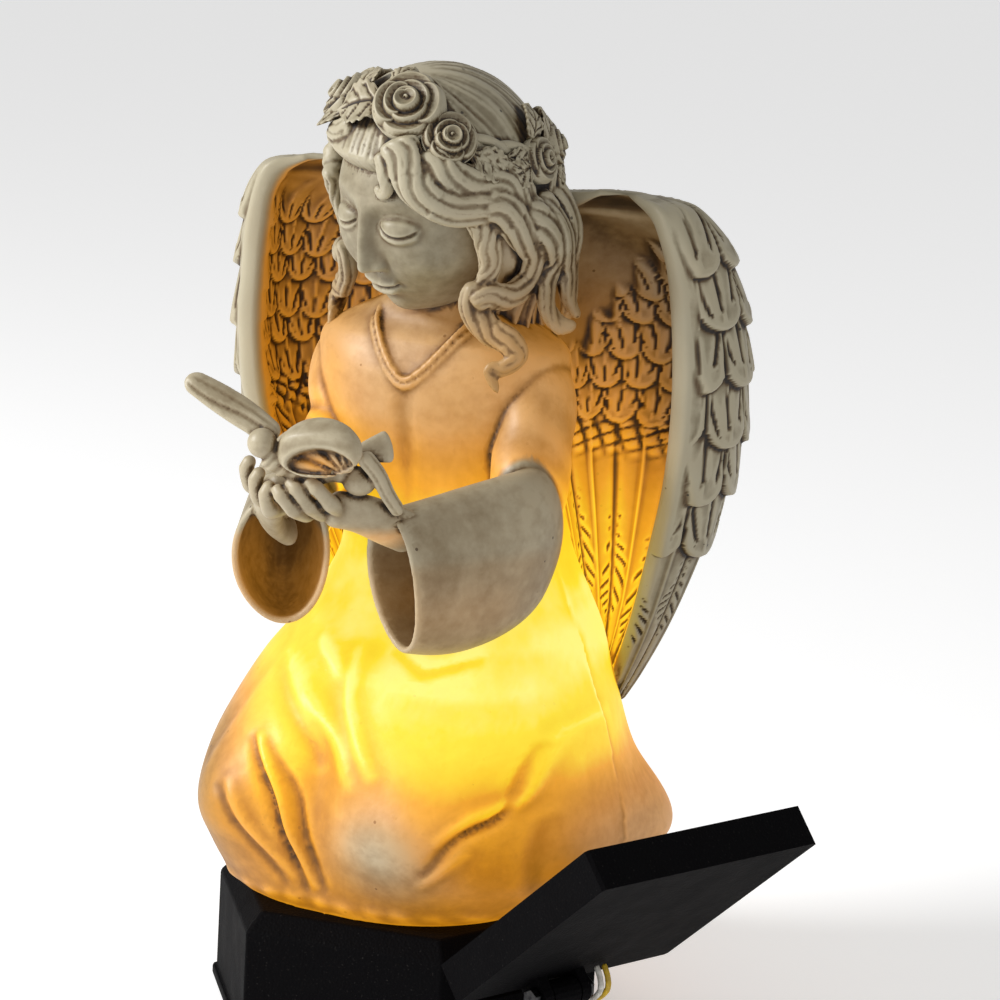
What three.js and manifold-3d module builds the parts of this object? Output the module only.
// Solar-lit garden angel: a cast kneeling angel child on a six-sided lamp base,
// with a small tilting solar panel hinged to one side of the base.
// Millimetres, +Z up. The origin is the middle of the base's underside, and -Y is the front.

import * as THREE from 'three';
import { mergeVertices } from 'three/addons/utils/BufferGeometryUtils.js';
import Module from 'manifold-3d';

const wasm = await Module();
wasm.setup();

// Driving sizes of the lamp base, a regular hexagonal housing
const BASE_EDGE = 54;
const BASE_HEIGHT = 35;
const BASE_BEVEL = 5;
const BASE_FOOT_LIP = 1.2;
const BASE_FOOT_LIP_HEIGHT = 3;

// Driving sizes of the figure
const FIGURE_HEIGHT = 220;
const FIGURE_TURN_DEG = -9;
const SEAT_GAP = 0.3;

// Driving sizes of the solar panel and of its hinge on the base
const PANEL_LENGTH = 73;
const PANEL_WIDTH = 67.3;
const PANEL_THICKNESS = 10.6;
const PANEL_BORDER = 4;
const PANEL_BEVEL = 0.8;
const PANEL_TILT_DEG = 41;
const CELL_THICKNESS = 1.6;
const CELL_CLEARANCE = 0.3;
const CELL_GROOVES = 5;
const CELL_GROOVE_WIDTH = 0.6;
const CELL_GROOVE_DEPTH = 0.4;
const HINGE_OUT = 21.6;
const HINGE_RISE = 25;
const HINGE_ALONG = -6;
const HINGE_BELOW_PANEL = 4.2;
const HINGE_FROM_EDGE = 3;
const PIN_RADIUS = 1.5;
const PIN_CLEARANCE = 0.3;
const PIN_HEAD_RADIUS = 2.9;
const PIN_HEAD_LENGTH = 1.8;
const LUG_THICKNESS = 3;
const LUG_RADIUS = 3.8;
const ARM_WIDTH = 9;
const ARM_THICKNESS = 5;
const ARM_RISE_FROM_FLOOR = 8;
const ARM_SIDE_GAP = 0.4;
const FOOT_PLATE_WIDTH = 14;
const FOOT_PLATE_HEIGHT = 15;
const FOOT_PLATE_THICKNESS = 3;
const JOIN_GAP = 0.3;

// Driving sizes of the two panel leads
const LEAD_RADIUS = 0.85;
const LEAD_SPACING = 2.6;
const LEAD_ENTRY_RISE = 12;
const LEAD_BEND_OUT = 10;
const LEAD_ALONG = 8;

const radians = (degrees) => THREE.MathUtils.degToRad(degrees);
const point = (x, y, z) => new THREE.Vector3(x, y, z);
const wave = (value, centre, width) => Math.exp(-(((value - centre) / width) ** 2));

// A closed skin over a grid of points: place(u, v) runs around with u and along with v,
// both from 0 to 1, and each end is closed by a fan to the middle of its ring.
function closedGrid(place, around, along) {
  const vertices = [];
  for (let j = 0; j <= along; j += 1) {
    for (let i = 0; i < around; i += 1) vertices.push(place(i / around, j / along));
  }
  const middle = (j) => {
    const sum = point(0, 0, 0);
    for (let i = 0; i < around; i += 1) sum.add(vertices[j * around + i]);
    return sum.divideScalar(around);
  };
  const ends = [middle(0), middle(along)];
  const first = vertices.push(ends[0]) - 1;
  const last = vertices.push(ends[1]) - 1;
  const index = [];
  for (let i = 0; i < around; i += 1) {
    const k = (i + 1) % around;
    for (let j = 0; j < along; j += 1) {
      const [a, b] = [j * around + i, j * around + k];
      index.push(a, b, b + around, a, b + around, a + around);
    }
    index.push(first, k, i, last, along * around + i, along * around + k);
  }
  const geometry = new THREE.BufferGeometry();
  geometry.setAttribute('position', new THREE.Float32BufferAttribute(vertices.flatMap((p) => p.toArray()), 3));
  geometry.setIndex(index);
  return facingOut(geometry);
}

// Turns a skin inside out where its volume comes out negative
function facingOut(geometry) {
  const position = geometry.getAttribute('position');
  const index = Array.from(geometry.index.array);
  let volume = 0;
  for (let i = 0; i < index.length; i += 3) {
    const [a, b, c] = [0, 1, 2].map((n) => new THREE.Vector3().fromBufferAttribute(position, index[i + n]));
    volume += a.dot(b.cross(c));
  }
  if (volume < 0) {
    for (let i = 0; i < index.length; i += 3) [index[i + 1], index[i + 2]] = [index[i + 2], index[i + 1]];
    geometry.setIndex(index);
  }
  return geometry;
}

function toManifold(geometry) {
  const bare = geometry.clone();
  bare.deleteAttribute('normal');
  bare.deleteAttribute('uv');
  const merged = mergeVertices(bare, 1e-4);
  return new wasm.Manifold(new wasm.Mesh({
    numProp: 3,
    vertProperties: new Float32Array(merged.getAttribute('position').array),
    triVerts: new Uint32Array(merged.index.array),
  }));
}

function fromManifold(solid) {
  const mesh = solid.getMesh();
  const geometry = new THREE.BufferGeometry();
  geometry.setAttribute('position', new THREE.BufferAttribute(new Float32Array(mesh.vertProperties), 3));
  geometry.setIndex(new THREE.BufferAttribute(new Uint32Array(mesh.triVerts), 1));
  return outerSkin(geometry);
}

// Keeps the largest connected skin, so pockets that joined forms close off are filled
function outerSkin(geometry) {
  const index = geometry.index.array;
  const position = geometry.getAttribute('position');
  const parent = Array.from({ length: position.count }, (_, i) => i);
  const root = (i) => {
    let r = i;
    while (parent[r] !== r) r = parent[r];
    parent[i] = r;
    return r;
  };
  for (let i = 0; i < index.length; i += 3) {
    parent[root(index[i + 1])] = root(index[i]);
    parent[root(index[i + 2])] = root(index[i]);
  }
  const skins = new Map();
  for (let i = 0; i < index.length; i += 3) {
    const key = root(index[i]);
    if (!skins.has(key)) skins.set(key, []);
    skins.get(key).push(index[i], index[i + 1], index[i + 2]);
  }
  const largest = [...skins.values()].sort((a, b) => b.length - a.length)[0];
  geometry.setIndex(largest);
  return geometry;
}

const join = (...geometries) => geometries.flat().map(toManifold).reduce((a, b) => a.add(b));
const cut = (solid, ...geometries) => geometries.flat().map(toManifold).reduce((a, b) => a.subtract(b), solid);

// A closed flattened tube along a smooth path. facing(t) is the side its broad face looks to,
// and halfWidth(t) and halfThick(t) are the section's half sizes along the path.
function sweep({ through, facing, halfWidth, halfThick, around = 6, along = 8 }) {
  const path = new THREE.CatmullRomCurve3(through);
  return closedGrid((u, v) => {
    const tangent = path.getTangent(v);
    const face = facing(v).clone().addScaledVector(tangent, -facing(v).dot(tangent)).normalize();
    const side = face.clone().cross(tangent);
    const angle = u * 2 * Math.PI;
    return path.getPoint(v)
      .addScaledVector(side, halfWidth(v) * Math.cos(angle))
      .addScaledVector(face, halfThick(v) * Math.sin(angle));
  }, around, along);
}

// A small egg-shaped closed form
function blob(centre, halfSizes, around = 8, along = 5) {
  return closedGrid((u, v) => {
    const [angle, rise] = [u * 2 * Math.PI, (v - 0.5) * Math.PI * 0.98];
    return point(Math.cos(rise) * Math.cos(angle), Math.cos(rise) * Math.sin(angle), Math.sin(rise))
      .multiply(halfSizes).add(centre);
  }, around, along);
}

// Smooth reading of a list of [place, ...values] rows at any place between the first and last
function readRows(rows, place) {
  const last = rows.length - 1;
  let i = 0;
  while (i < last - 1 && rows[i + 1][0] < place) i += 1;
  const span = rows[i + 1][0] - rows[i][0];
  const t = Math.min(1, Math.max(0, (place - rows[i][0]) / span));
  const row = (n) => rows[Math.min(last, Math.max(0, n))];
  return rows[i].slice(1).map((value, n) => {
    const slope = (a, b) => (row(b)[n + 1] - row(a)[n + 1]) / (row(b)[0] - row(a)[0] || 1);
    const [from, to] = [slope(i - 1, i + 1) * span, slope(i, i + 2) * span];
    const [t2, t3] = [t * t, t * t * t];
    return value * (2 * t3 - 3 * t2 + 1) + from * (t3 - 2 * t2 + t)
      + rows[i + 1][n + 1] * (3 * t2 - 2 * t3) + to * (t3 - t2);
  });
}

// The figure is drawn 220 high over its seat, facing -Y with its left hand to +X, and then
// takes its real height. mirrored() gives the same place on its right side.
const DRAWN_HEIGHT = 220;
const RIGHT_ARM_TUCK = point(6.5, 5, 0);
const mirrored = (p, side) => point(p.x * side, p.y, p.z);
const onArm = (p, side) => mirrored(p, side).addScaledVector(RIGHT_ARM_TUCK, side < 0 ? 1 : 0);

// Gown and body: level, front, back, half width and sideways place of each cross-section
const GOWN_ROWS = [
  [0, -39, 52, 42, -3],
  [6, -42, 60, 50, -2],
  [14, -45, 65, 56, 0],
  [24, -48, 65, 57, 0],
  [36, -47, 60, 54, 0],
  [48, -43, 55, 50, 1],
  [60, -33, 51, 45, 1],
  [70, -22, 48, 40, 2],
  [80, -14, 45, 35, 2],
  [90, -11, 41, 31, 2],
  [102, -11, 36, 30, 1],
  [115, -13, 32, 31.5, 0],
  [128, -16, 30, 33, 0],
  [139, -16, 27, 34.5, 0],
  [147, -13, 24, 34, 0],
  [153, -9, 21, 25, 0],
  [158, -9, 15, 15, 0],
  [164, -11, 11, 11, 0],
  [176, -12, 10, 11, 1],
];

// Knees, thighs and the gown's folds, as bumps and furrows on the gown's skin
function gownRelief(x, y, z) {
  const front = y < 8 ? 1 : Math.max(0, 1 - (y - 8) / 12);
  const knees = 7 * wave(x, 27, 15) * wave(z, 26, 17) + 7 * wave(x, -31, 13) * wave(z, 26, 17);
  const lap = -5 * wave(x, -5, 9) * wave(z, 34, 26);
  const furrow = (fromX, fromZ, toX, toZ, depth, width) => {
    const [dx, dz] = [toX - fromX, toZ - fromZ];
    const t = Math.min(1, Math.max(0, ((x - fromX) * dx + (z - fromZ) * dz) / (dx * dx + dz * dz)));
    const away = Math.hypot(x - fromX - t * dx, z - fromZ - t * dz);
    return -depth * Math.sin(Math.PI * (0.15 + 0.7 * t)) * Math.exp(-((away / width) ** 2));
  };
  const folds = furrow(-14, 52, -6, 6, 4, 3.5) + furrow(-4, 70, 8, 40, 2.5, 4)
    + furrow(-22, 40, -14, 8, 2.5, 3) + furrow(30, 22, 52, 44, 2.5, 4) + furrow(-24, 66, -34, 30, 1.5, 4);
  const train = 9 * wave(Math.abs(x), 44, 16) * wave(y, 42, 18) * wave(z, 15, 14);
  const seat = 2.5 * wave(x, 0, 3.5) * wave(z, 52, 18) * (y > 20 ? -1 : 0);
  const chest = 1.2 * wave(x, 0, 4) * wave(z, 126, 14) * (y < 0 ? -1 : 0);
  return front * (knees + lap + folds) + train + seat + chest;
}

function gown(around, along) {
  return closedGrid((u, v) => {
    const level = GOWN_ROWS[GOWN_ROWS.length - 1][0] * v;
    const [front, back, half, shift] = readRows(GOWN_ROWS, level);
    const angle = u * 2 * Math.PI;
    const round = (value) => Math.sign(value) * Math.abs(value) ** 0.86;
    const x = shift + half * round(Math.cos(angle));
    const y = (front + back) / 2 + ((back - front) / 2) * round(Math.sin(angle));
    const out = point(Math.cos(angle), Math.sin(angle), 0);
    return point(x, y, level).addScaledVector(out, level > 0 ? gownRelief(x, y, level) : 0);
  }, around, along);
}

// Collar: a raised V-shaped border round the neckline
function collar() {
  return sweep({
    through: [point(-15, 2, 157), point(-13, -11, 151), point(0, -17.5, 137.5), point(13, -11, 151), point(15, 2, 157)],
    facing: () => point(0, -1, 0.4),
    halfWidth: () => 1.7,
    halfThick: () => 1.6,
    around: 4,
    along: 10,
  });
}

// Arms and bell sleeves: the upper arm, the wide hanging lower sleeve with its open mouth,
// and the bare wrist that comes out of the mouth
const SHOULDER = point(28, 5, 137);
const ELBOW = point(36.5, -15, 105);
const HEM = point(21, -54, 95.5);
const WRIST = point(17, -51, 108);

function sleeve(side) {
  const up = () => point(0, 0, 1);
  const upper = sweep({
    through: [mirrored(point(21, 8, 143), side), mirrored(SHOULDER, side), onArm(point(32, -4, 121), side),
      onArm(ELBOW, side)],
    facing: () => point(side, 0.2, 0.3),
    halfWidth: (t) => 10 + 3.5 * t,
    halfThick: (t) => 9 + 1 * t,
    around: 7,
    along: 4,
  });
  const lower = sweep({
    through: [point(37, -6, 108), point(38, -20, 104), point(30, -39, 98.5), HEM].map((p) => onArm(p, side)),
    facing: up,
    halfWidth: (t) => 7 + 5.5 * t,
    halfThick: (t) => 10 + 8.5 * Math.sin((Math.PI / 2) * Math.min(1, 0.3 + t)),
    around: 10,
    along: 4,
  });
  const mouth = sweep({
    through: [point(29, -42, 98), point(25, -48, 97), point(16, -61, 94)].map((p) => onArm(p, side)),
    facing: up,
    halfWidth: (t) => 4 + 6 * Math.min(1, 2 * t),
    halfThick: (t) => 9 + 7.5 * Math.min(1, 2 * t),
    around: 10,
    along: 2,
  });
  return { upper, lower, mouth };
}

function wrist(side) {
  return sweep({
    through: [onArm(point(30, -37, 106), side), mirrored(WRIST, side), mirrored(point(12, -59, 112), side)],
    facing: () => point(0, 0, 1),
    halfWidth: () => 6,
    halfThick: () => 5.6,
    around: 6,
    along: 3,
  });
}

// Hands: a cupped palm with four bent fingers and a thumb, the two hands crossing at the tips
const HANDS_SHIFT = point(5, 0, 1);

function hand(side) {
  const at = (x, y, z) => mirrored(point(x, y, z), side).add(HANDS_SHIFT);
  const palm = sweep({
    through: [at(15 - 4 * side, -53, 110), at(8, -63, 114), at(1, -70, 115)],
    facing: () => point(-0.3 * side, 0, 1),
    halfWidth: (t) => 6.5 + 1.5 * Math.sin(Math.PI * t),
    halfThick: () => 3.6,
    around: 6,
    along: 3,
  });
  const fingers = [0, 1, 2, 3].map((n) => sweep({
    through: [
      at(5 - n * 2, -64 - n * 3, 114),
      at(-2 - n * 2.2, -69 - n * 3.4, 115),
      at(-8 - n * 1.4, -72.5 - n * 3, 119),
      at(-9.5 - n, -74 - n * 2.4, 124),
    ],
    facing: () => point(0.5 * side, 0, 1),
    halfWidth: (t) => 2.6 - 0.8 * t,
    halfThick: (t) => 2.5 - 0.8 * t,
    around: 5,
    along: 3,
  }));
  const thumb = sweep({
    through: [at(13, -56, 115), at(9, -60, 121), at(5, -65, 124)],
    facing: () => point(0, 0, 1),
    halfWidth: (t) => 3 - 1.1 * t,
    halfThick: (t) => 2.8 - 1.1 * t,
    around: 4,
    along: 2,
  });
  return [palm, ...fingers, thumb];
}

// Butterfly resting in the hands: a ringed body, a round head and four wings
function butterfly() {
  const body = sweep({
    through: [point(-4, -81, 129), point(4, -75, 124), point(18, -64, 123)],
    facing: () => point(0, 0, 1),
    halfWidth: (t) => 3.8 - 1.6 * t,
    halfThick: (t) => 4.6 - 1.6 * t,
    around: 6,
    along: 4,
  });
  const head = blob(point(-5, -83, 131.5), point(3.9, 3.9, 3.9));
  const farWing = sweep({
    through: [point(-4, -79, 130), point(-15, -80, 137.5), point(-27, -82, 145.5)],
    facing: () => point(0.6, -0.3, 0.8),
    halfWidth: (t) => 2 + 4 * Math.sin(Math.PI * Math.min(0.93, 0.16 + 0.75 * t)),
    halfThick: (t) => 1.9 - 0.7 * t,
    around: 6,
    along: 5,
  });
  const nearWing = sweep({
    through: [point(8, -76, 121), point(8, -82, 126), point(10, -81, 132), point(14, -74, 134)],
    facing: () => point(-0.2, -1, 0.5),
    halfWidth: (t) => 9 + 3.5 * Math.sin(Math.PI * (0.1 + 0.75 * t)),
    halfThick: () => 1.7,
    around: 8,
    along: 4,
  });
  const tailWing = sweep({
    through: [point(13, -69, 123), point(19, -66, 126), point(23, -64, 128)],
    facing: () => point(0, -0.7, 0.7),
    halfWidth: (t) => 3 + t,
    halfThick: () => 1.5,
    around: 6,
    along: 2,
  });
  return [body, head, farWing, nearWing, tailWing].map((form) => form.translate(HANDS_SHIFT.x, 0, 0));
}

// Wings: a cupped shell whose level sections are arcs that bulge to the back and the outside.
// Each row is level, the arc's middle sideways, half width, middle front to back and half depth.
const WING_ROWS = [
  [47, 33, 2.5, 42, 2.5],
  [58, 35.5, 7, 40.5, 6],
  [74, 38.5, 12.5, 38, 11],
  [94, 41, 18.5, 35, 15.5],
  [116, 43.5, 24.5, 31, 19.5],
  [138, 44, 27, 29, 21],
  [156, 44, 26, 27, 20],
  [170, 44, 23.5, 24, 17.5],
  [179, 44, 20, 20, 14],
  [185, 44, 14.5, 17, 9.5],
  [188, 44, 6, 15, 4],
];
const WING_FOOT = WING_ROWS[0][0];
const WING_TOP = WING_ROWS[WING_ROWS.length - 1][0];
const WING_ROOT_DEG = 205;
const WING_RIM_DEG = -48;

// A place on the wing's middle surface: share 0 is at the root and 1 at the front rim
function wingPlace(share, level) {
  const [middle, half, middleY, depth] = readRows(WING_ROWS, level);
  const angle = radians(THREE.MathUtils.lerp(WING_ROOT_DEG, WING_RIM_DEG, share));
  return point(middle + half * Math.cos(angle), middleY + depth * Math.sin(angle), level);
}

function wingOutward(share, level) {
  const step = 0.5;
  const low = Math.max(WING_FOOT, level - step);
  const high = Math.min(WING_TOP, level + step);
  const along = wingPlace(Math.min(1, share + 0.01), level).sub(wingPlace(Math.max(0, share - 0.01), level));
  return along.cross(wingPlace(share, high).sub(wingPlace(share, low))).negate().normalize();
}

// The wing's skin is a grid whose lines follow its feathers. Two columns stand for one feather:
// its middle and the furrow beside it, and they change places from each row to the next.
const WING_THICKNESS = 5;
const OUTER_FEATHERS = 6;
const INNER_FEATHERS = 3;
const COVERT_ROWS = 6;
const COVERT_DROP = 15;
const COVERT_TOP = 184;
const QUILL_LINES = 3;

// Lines from the wing's top to its tip: each covert row ends in a raised line and, just under
// it, a line that drops back to the row below. The long quills run on from the last row.
function wingLines() {
  const lines = [{ level: WING_TOP, row: 0, lift: 0.2, scallop: 0 }];
  for (let row = 0; row < COVERT_ROWS; row += 1) {
    const level = COVERT_TOP - (row + 1) * COVERT_DROP;
    lines.push({ level, row, lift: 1, scallop: 1 }, { level: level - 0.7, row, lift: 0, scallop: 1 });
  }
  const start = lines[lines.length - 1].level;
  for (let n = 1; n <= QUILL_LINES; n += 1) {
    const share = n / QUILL_LINES;
    lines.push({ level: THREE.MathUtils.lerp(start, WING_FOOT, share), row: COVERT_ROWS, lift: 0.5 - 0.3 * share, scallop: 0 });
  }
  return lines;
}

function wing(side) {
  const lines = wingLines();
  const outer = 2 * OUTER_FEATHERS + 1;
  const inner = 2 * INNER_FEATHERS + 1;
  const columns = outer + inner;
  return closedGrid((u, v) => {
    const column = Math.round(u * columns) % columns;
    const line = lines[Math.round(v * (lines.length - 1))];
    const outside = column < outer;
    const share = outside ? 0.02 + (0.96 * column) / (outer - 1) : 0.95 - (0.9 * (column - outer)) / (inner - 1);
    const middle = (column + line.row) % 2 === 0;
    const rim = share > 0.9 || share < 0.06;
    const level = Math.min(WING_TOP, line.level + (rim ? 0 : line.scallop * (middle ? -4 : 3)));
    const ridge = rim ? 0.3 : line.lift * (outside ? 2.6 : 1.5) + (middle ? 0.5 : -0.7);
    const stand = (outside ? 1 : -1) * (WING_THICKNESS / 2 + ridge);
    return mirrored(wingPlace(share, level).addScaledVector(wingOutward(share, level), stand), side);
  }, columns, lines.length - 1);
}

// Head: it bows and turns a little to its right. Places on it are drawn facing -Y about its
// middle and then turned.
const HEAD_MIDDLE = point(2, -8, 185.5);
const HEAD_TURN = new THREE.Euler(radians(12), radians(5), radians(-16), 'ZYX');
const HAIR_HALVES = point(28.5, 32, 34.5);
const onHead = (p) => p.applyEuler(HEAD_TURN).add(HEAD_MIDDLE);

// The skin of the head at a longitude and latitude in degrees: 0, 0 is straight ahead
function headSkin(longitude, latitude) {
  const [lon, lat] = [radians(longitude), radians(latitude)];
  const ray = point(Math.sin(lon) * Math.cos(lat), -Math.cos(lon) * Math.cos(lat), Math.sin(lat));
  const halves = latitude < 0 ? point(23, 25 - 1.5 * Math.sin(-lat), 29.5) : point(23.5, 26, 31);
  const reach = 1 / ray.clone().divide(halves).length();
  const side = Math.abs(longitude);
  const nose = 4.4 * wave(longitude, 0, 9) * (wave(latitude, -20, 6) + 0.5 * wave(latitude, -9, 9));
  const sockets = -2.2 * wave(side, 21, 12) * wave(latitude, 1, 8);
  const lids = 1.9 * wave(side, 21, 9) * wave(latitude, -3, 4.5);
  const cheeks = 1.8 * wave(side, 33, 15) * wave(latitude, -23, 12);
  const lips = 2 * wave(longitude, 0, 12) * wave(latitude, -37, 4.5);
  const chin = 3 * wave(longitude, 0, 17) * wave(latitude, -56, 9);
  const jaw = -2.5 * wave(side, 55, 25) * wave(latitude, -50, 16);
  return ray.multiplyScalar(reach + nose + sockets + lids + cheeks + lips + chin + jaw);
}

// Share of the bare skin at a place on the head: the face up to the hairline and the throat
function bareShare(longitude, latitude) {
  const step = (value, low, high) => THREE.MathUtils.smoothstep(value, low, high);
  const face = (1 - step(Math.abs(longitude), 52, 70)) * (1 - step(latitude, 20, 34));
  return Math.max(face, 1 - step(latitude, -64, -50));
}

// Head and hair cap as one skin, with more rows and columns over the face than over the back
function head(around, along) {
  const crowded = (share, centre, crowding) => share - (crowding / (2 * Math.PI))
    * (Math.sin(2 * Math.PI * (share - centre)) + Math.sin(2 * Math.PI * centre));
  return closedGrid((u, v) => {
    const longitude = 360 * (crowded(u, 0.5, 0.6) - 0.5);
    const latitude = -86 + 172 * crowded(v, 0.4, 0.4);
    const skin = headSkin(longitude, latitude);
    const ray = skin.clone().normalize();
    const cap = (1 / ray.clone().divide(HAIR_HALVES).length()) * (1 - 0.4 * bareShare(longitude, latitude));
    return onHead(ray.multiplyScalar(Math.max(skin.length(), cap)));
  }, around, along);
}

// The hair at the back: one thick mass from ear to ear that hangs to the shoulders in waves
function backHair() {
  return closedGrid((u, v) => {
    const angle = 2 * Math.PI * u;
    const [width, depth] = [25 - 3 * v, 15 - 3 * v];
    const furrows = 1 + 0.06 * Math.sin(7 * angle + 4 * v);
    const sway = 1.5 * Math.sin(2 * Math.PI * v);
    return onHead(point(width * furrows * Math.cos(angle) + sway, 16 - 4 * v + depth * furrows * Math.sin(angle), 8 - 50 * v));
  }, 12, 4);
}

// One lock of hair through places drawn on the head
function lock(places, width, taper = 0.75) {
  return sweep({
    through: places.map((p) => onHead(point(...p))),
    facing: (t) => {
      const near = places[Math.min(places.length - 1, Math.round(t * (places.length - 1)))];
      return point(near[0], near[1], near[2] * 0.2).applyEuler(HEAD_TURN);
    },
    halfWidth: (t) => width * (1 - taper * t ** 2),
    halfThick: (t) => 0.62 * width * (1 - taper * t ** 2),
    around: 5,
    along: 7,
  });
}

function locks() {
  const swoops = [1, -1].map((side) => lock([
    [5 * side, -27, 20], [17 * side, -22, 16], [25 * side, -14, 10], [29 * side, -5, 2], [29 * side, -2, -8],
  ], 5, 0.4));
  const curls = [1, -1].flatMap((side) => [
    lock([[27 * side, -13, 4], [30 * side, -11, -7], [26 * side, -14, -18], [30 * side, -12, -29],
      [26 * side, -15, -38], [28 * side, -18, -45]], 4.6),
    lock([[29 * side, -2, 2], [33 * side, 1, -10], [28 * side, 2, -22], [33 * side, 0, -34], [28 * side, -5, -43]], 5.2),
  ]);
  const forelock = lock([[-2, -28, 22], [-5, -31, 15], [-9, -30, 12], [-8, -28, 17]], 2.8);
  return [...swoops, ...curls, forelock];
}

// Flower crown: a ring of roses and leaves that lie against the hair
const CROWN_LATITUDE = 34;
const CROWN_TILT_DEG = 20;

// A place on the hair under the crown: its ring is tilted back, high over the brow
function crownPlace(longitude, stand = 0) {
  const lon = radians(longitude);
  const lat = radians(CROWN_LATITUDE);
  const ray = point(Math.sin(lon) * Math.cos(lat), -Math.cos(lon) * Math.cos(lat), Math.sin(lat))
    .applyEuler(new THREE.Euler(-radians(CROWN_TILT_DEG), 0, 0));
  return ray.clone().multiplyScalar(1 / ray.clone().divide(HAIR_HALVES).length() + stand);
}

// The frame of a flower on the crown: outward, across to the left and up
function crownFrame(longitude) {
  const outward = crownPlace(longitude).divide(HAIR_HALVES).divide(HAIR_HALVES).normalize();
  const across = crownPlace(longitude + 2).sub(crownPlace(longitude - 2)).normalize();
  return { outward, across, upward: outward.clone().cross(across).negate() };
}

// A rose: a dome of spiral petals whose skin steps down from the bud to the rim
function rose(longitude, size, rise = 0) {
  const { outward, across, upward } = crownFrame(longitude);
  const centre = crownPlace(longitude, 0.4).addScaledVector(upward, rise);
  return closedGrid((u, v) => {
    const angle = u * 2 * Math.PI;
    const spread = Math.sin(Math.min(1, v * 1.1) * Math.PI * 0.5) * (v < 0.08 ? 0.02 : 1);
    const petals = 1 + 0.1 * Math.sin(5 * angle) * v;
    const fold = 0.16 * Math.sin(6 * Math.PI * v + angle);
    const height = size * (0.62 * (1 - v ** 2.2) + fold * Math.sin(Math.PI * v) - (v > 0.96 ? 0.5 : 0));
    return onHead(centre.clone()
      .addScaledVector(across, size * spread * petals * Math.cos(angle))
      .addScaledVector(upward, size * spread * petals * Math.sin(angle))
      .addScaledVector(outward, height));
  }, 8, 4);
}

function leaf(longitude, rise, heading, length) {
  const { outward, across, upward } = crownFrame(longitude);
  const start = crownPlace(longitude, 0.6).addScaledVector(upward, rise);
  const turn = radians(heading);
  const toward = across.clone().multiplyScalar(Math.cos(turn)).addScaledVector(upward, Math.sin(turn));
  const places = [0, 0.5, 1].map((t) => start.clone()
    .addScaledVector(toward, length * t).addScaledVector(outward, 1.2 * Math.sin(Math.PI * t) - 1.5 * t));
  return sweep({
    through: places.map(onHead),
    facing: () => outward.clone().applyEuler(HEAD_TURN),
    halfWidth: (t) => length * 0.33 * Math.sin(Math.PI * (0.1 + 0.86 * t)),
    halfThick: () => 1.1,
    around: 4,
    along: 3,
  });
}

function crownFlowers() {
  const roses = [
    rose(18, 7.6, 2), rose(52, 6.2, -1), rose(108, 5, -1), rose(-46, 6.4, 0), rose(138, 4.6), rose(-104, 5.4),
    rose(180, 6),
  ];
  const leaves = [
    leaf(68, -2, -30, 9), leaf(76, 3, 40, 8), leaf(0, -3, 200, 10), leaf(-12, 4, 150, 9),
    leaf(-66, 3, 110, 9), leaf(-84, -1, 190, 9), leaf(158, 0, 0, 11), leaf(-128, 0, 180, 11), leaf(-156, 0, 180, 11),
  ];
  return [...roses, ...leaves];
}

function angelFigure() {
  const scale = FIGURE_HEIGHT / DRAWN_HEIGHT;
  const sides = [1, -1];
  const sleeves = sides.map(sleeve);
  const sleeved = cut(join(sleeves.map((s) => s.lower)), sleeves.map((s) => s.mouth));
  const cast = join(
    gown(24, 18), collar(), sleeves.map((s) => s.upper), sides.map(wrist), sides.flatMap(hand), butterfly(),
    sides.map(wing), head(24, 18), backHair(), locks(), crownFlowers(),
  ).add(sleeved);
  const geometry = fromManifold(cast);
  geometry.scale(scale, scale, scale);
  geometry.rotateZ(radians(FIGURE_TURN_DEG));
  return geometry;
}

// Lamp base: a hexagonal box with a sloping top edge and a small foot lip
function lampBase() {
  const rings = [
    [0, BASE_EDGE + BASE_FOOT_LIP],
    [BASE_FOOT_LIP_HEIGHT, BASE_EDGE + BASE_FOOT_LIP],
    [BASE_FOOT_LIP_HEIGHT, BASE_EDGE],
    [BASE_HEIGHT - BASE_BEVEL, BASE_EDGE],
    [BASE_HEIGHT, BASE_EDGE - BASE_BEVEL],
  ];
  const steps = rings.length - 1;
  return closedGrid((u, v) => {
    const [level, reach] = rings[Math.round(v * steps)];
    const angle = u * 2 * Math.PI;
    return point(reach * Math.cos(angle), reach * Math.sin(angle), level);
  }, 6, steps);
}

// A rectangle with its corners cut, as the section of the panel's parts
function plate(length, width, thickness, bevel) {
  const shape = new THREE.Shape();
  shape.moveTo(-width / 2 + bevel, -length / 2);
  shape.lineTo(width / 2 - bevel, -length / 2);
  shape.lineTo(width / 2, -length / 2 + bevel);
  shape.lineTo(width / 2, length / 2 - bevel);
  shape.lineTo(width / 2 - bevel, length / 2);
  shape.lineTo(-width / 2 + bevel, length / 2);
  shape.lineTo(-width / 2, length / 2 - bevel);
  shape.lineTo(-width / 2, -length / 2 + bevel);
  shape.closePath();
  return new THREE.ExtrudeGeometry(shape, { depth: thickness, bevelEnabled: false });
}

function cylinderAlongY(radius, length, sides = 16) {
  return new THREE.CylinderGeometry(radius, radius, length, sides);
}

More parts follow.
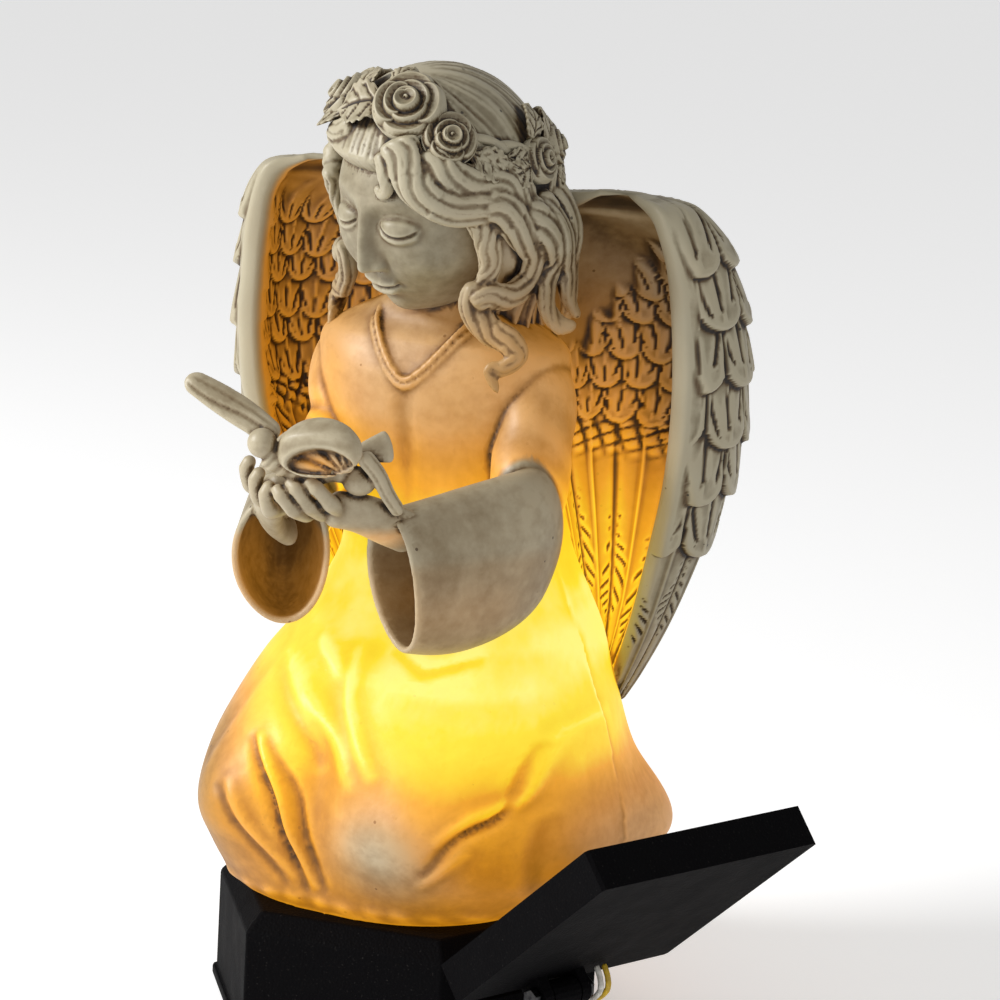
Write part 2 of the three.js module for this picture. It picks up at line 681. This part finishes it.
// The panel's own frame: X from the hinge outward along the plate, Y along the hinge, Z up out
// of the cell, with the hinge's axis on Y at the origin
const PANEL_NEAR_X = -HINGE_FROM_EDGE;
const PANEL_MIDDLE_X = PANEL_NEAR_X + PANEL_WIDTH / 2;
const PANEL_TOP_Z = HINGE_BELOW_PANEL + PANEL_THICKNESS;
const CELL_LENGTH = PANEL_LENGTH - 2 * PANEL_BORDER;
const CELL_WIDTH = PANEL_WIDTH - 2 * PANEL_BORDER;
const LUG_MIDDLE_Y = ARM_WIDTH / 2 + ARM_SIDE_GAP + LUG_THICKNESS / 2;

function panelFrame() {
  const body = plate(PANEL_LENGTH, PANEL_WIDTH, PANEL_THICKNESS, PANEL_BEVEL);
  body.translate(PANEL_MIDDLE_X, -HINGE_ALONG, HINGE_BELOW_PANEL);
  const pocket = plate(CELL_LENGTH + 2 * CELL_CLEARANCE, CELL_WIDTH + 2 * CELL_CLEARANCE, CELL_THICKNESS * 2, PANEL_BEVEL);
  pocket.translate(PANEL_MIDDLE_X, -HINGE_ALONG, PANEL_TOP_Z - CELL_THICKNESS - CELL_CLEARANCE);
  const lugs = [1, -1].flatMap((side) => {
    const eye = cylinderAlongY(LUG_RADIUS, LUG_THICKNESS).translate(0, side * LUG_MIDDLE_Y, 0);
    const web = new THREE.BoxGeometry(2 * LUG_RADIUS, LUG_THICKNESS, HINGE_BELOW_PANEL + 1)
      .translate(0, side * LUG_MIDDLE_Y, (HINGE_BELOW_PANEL + 1) / 2);
    return [eye, web];
  });
  const bore = cylinderAlongY(PIN_RADIUS + PIN_CLEARANCE, PANEL_LENGTH);
  return fromManifold(cut(join(body, lugs), pocket, bore));
}

function solarCell() {
  const body = plate(CELL_LENGTH, CELL_WIDTH, CELL_THICKNESS, PANEL_BEVEL);
  body.translate(PANEL_MIDDLE_X, -HINGE_ALONG, PANEL_TOP_Z - CELL_THICKNESS);
  const grooves = Array.from({ length: CELL_GROOVES }, (_, n) => {
    const y = CELL_LENGTH * ((n + 1) / (CELL_GROOVES + 1) - 0.5);
    return new THREE.BoxGeometry(CELL_WIDTH + 2, CELL_GROOVE_WIDTH, 2 * CELL_GROOVE_DEPTH)
      .translate(PANEL_MIDDLE_X, y - HINGE_ALONG, PANEL_TOP_Z);
  });
  return fromManifold(cut(toManifold(body), grooves));
}

function hingePin() {
  const half = LUG_MIDDLE_Y + LUG_THICKNESS / 2 + JOIN_GAP;
  const shank = cylinderAlongY(PIN_RADIUS, 2 * half + 1);
  const heads = [1, -1].map((side) => cylinderAlongY(PIN_HEAD_RADIUS, PIN_HEAD_LENGTH, 6)
    .translate(0, side * (half + PIN_HEAD_LENGTH / 2), 0));
  return fromManifold(join(shank, heads));
}

// Bracket on the base's side face: a foot plate, a level arm and a post with the hinge eye.
// Its own frame: X out from the face, Y along the face, Z up from the floor.
function panelBracket() {
  const foot = new THREE.BoxGeometry(FOOT_PLATE_THICKNESS, FOOT_PLATE_WIDTH, FOOT_PLATE_HEIGHT)
    .translate(JOIN_GAP + FOOT_PLATE_THICKNESS / 2, 0, ARM_RISE_FROM_FLOOR + ARM_THICKNESS / 2 + 1);
  const reach = HINGE_OUT + ARM_THICKNESS / 2 - JOIN_GAP;
  const arm = new THREE.BoxGeometry(reach, ARM_WIDTH, ARM_THICKNESS)
    .translate(JOIN_GAP + reach / 2, 0, ARM_RISE_FROM_FLOOR + ARM_THICKNESS / 2);
  const post = new THREE.BoxGeometry(ARM_THICKNESS, ARM_WIDTH, HINGE_RISE - ARM_RISE_FROM_FLOOR)
    .translate(HINGE_OUT, 0, (HINGE_RISE + ARM_RISE_FROM_FLOOR) / 2);
  const eye = cylinderAlongY(LUG_RADIUS, ARM_WIDTH).translate(HINGE_OUT, 0, HINGE_RISE);
  const bore = cylinderAlongY(PIN_RADIUS + PIN_CLEARANCE, PANEL_LENGTH).translate(HINGE_OUT, 0, HINGE_RISE);
  return fromManifold(cut(join(foot, arm, post, eye), bore));
}

// A lead from the panel's underside to the base's face, in the bracket's frame
function lead(offset) {
  const tilt = radians(PANEL_TILT_DEG);
  const belowPanel = (along, drop) => point(
    HINGE_OUT + along * Math.cos(tilt) - (HINGE_BELOW_PANEL - drop) * Math.sin(tilt), 0,
    HINGE_RISE + along * Math.sin(tilt) + (HINGE_BELOW_PANEL - drop) * Math.cos(tilt),
  );
  const through = [
    belowPanel(3, JOIN_GAP), belowPanel(3, 2.5), belowPanel(1, 6.5), point(LEAD_BEND_OUT + 3, 0, LEAD_ENTRY_RISE + 4),
    point(LEAD_BEND_OUT - 3, 0, LEAD_ENTRY_RISE + 1), point(JOIN_GAP, 0, LEAD_ENTRY_RISE),
  ].map((p) => point(p.x, LEAD_ALONG + offset, p.z));
  const section = new THREE.Shape();
  section.absarc(0, 0, LEAD_RADIUS, 0, 2 * Math.PI, false);
  const path = new THREE.CatmullRomCurve3(through);
  return new THREE.ExtrudeGeometry(section, { steps: 10, curveSegments: 4, extrudePath: path, bevelEnabled: false });
}

const paint = (color, roughness, metalness = 0) => new THREE.MeshStandardMaterial({ color, roughness, metalness });

function named(name, geometry, material) {
  const mesh = new THREE.Mesh(geometry, material);
  mesh.name = name;
  return mesh;
}

const blackPlastic = paint(0x141415, 0.55);

const figure = named('angel_figure', angelFigure(), paint(0xb9a98c, 0.6));
figure.position.set(0, 0, BASE_HEIGHT + SEAT_GAP);

// The bracket stands on the base's front right face, whose outward side is 30 degrees off +X
const face = new THREE.Group();
face.rotation.z = radians(-30);
const faceGroup = new THREE.Group();
faceGroup.position.x = BASE_EDGE * Math.cos(radians(30));
face.add(faceGroup);
const bracket = named('panel_bracket', panelBracket(), blackPlastic);
bracket.position.y = HINGE_ALONG;
faceGroup.add(bracket);
faceGroup.add(named('lead_yellow', lead(LEAD_SPACING / 2), paint(0xd8b800, 0.5)));
faceGroup.add(named('lead_white', lead(-LEAD_SPACING / 2), paint(0xe8e6df, 0.5)));

const hinge = new THREE.Group();
hinge.position.set(HINGE_OUT, HINGE_ALONG, HINGE_RISE);
faceGroup.add(hinge);
hinge.add(named('hinge_pin', hingePin(), paint(0x303234, 0.4, 0.6)));

const panel = new THREE.Group();
panel.rotation.y = -radians(PANEL_TILT_DEG);
hinge.add(panel);
panel.add(named('panel_frame', panelFrame(), blackPlastic));
panel.add(named('solar_cell', solarCell(), paint(0x10142a, 0.25)));

const garden = new THREE.Group();
garden.add(named('lamp_base', lampBase(), blackPlastic));
garden.add(figure);
garden.add(face);

export default garden;
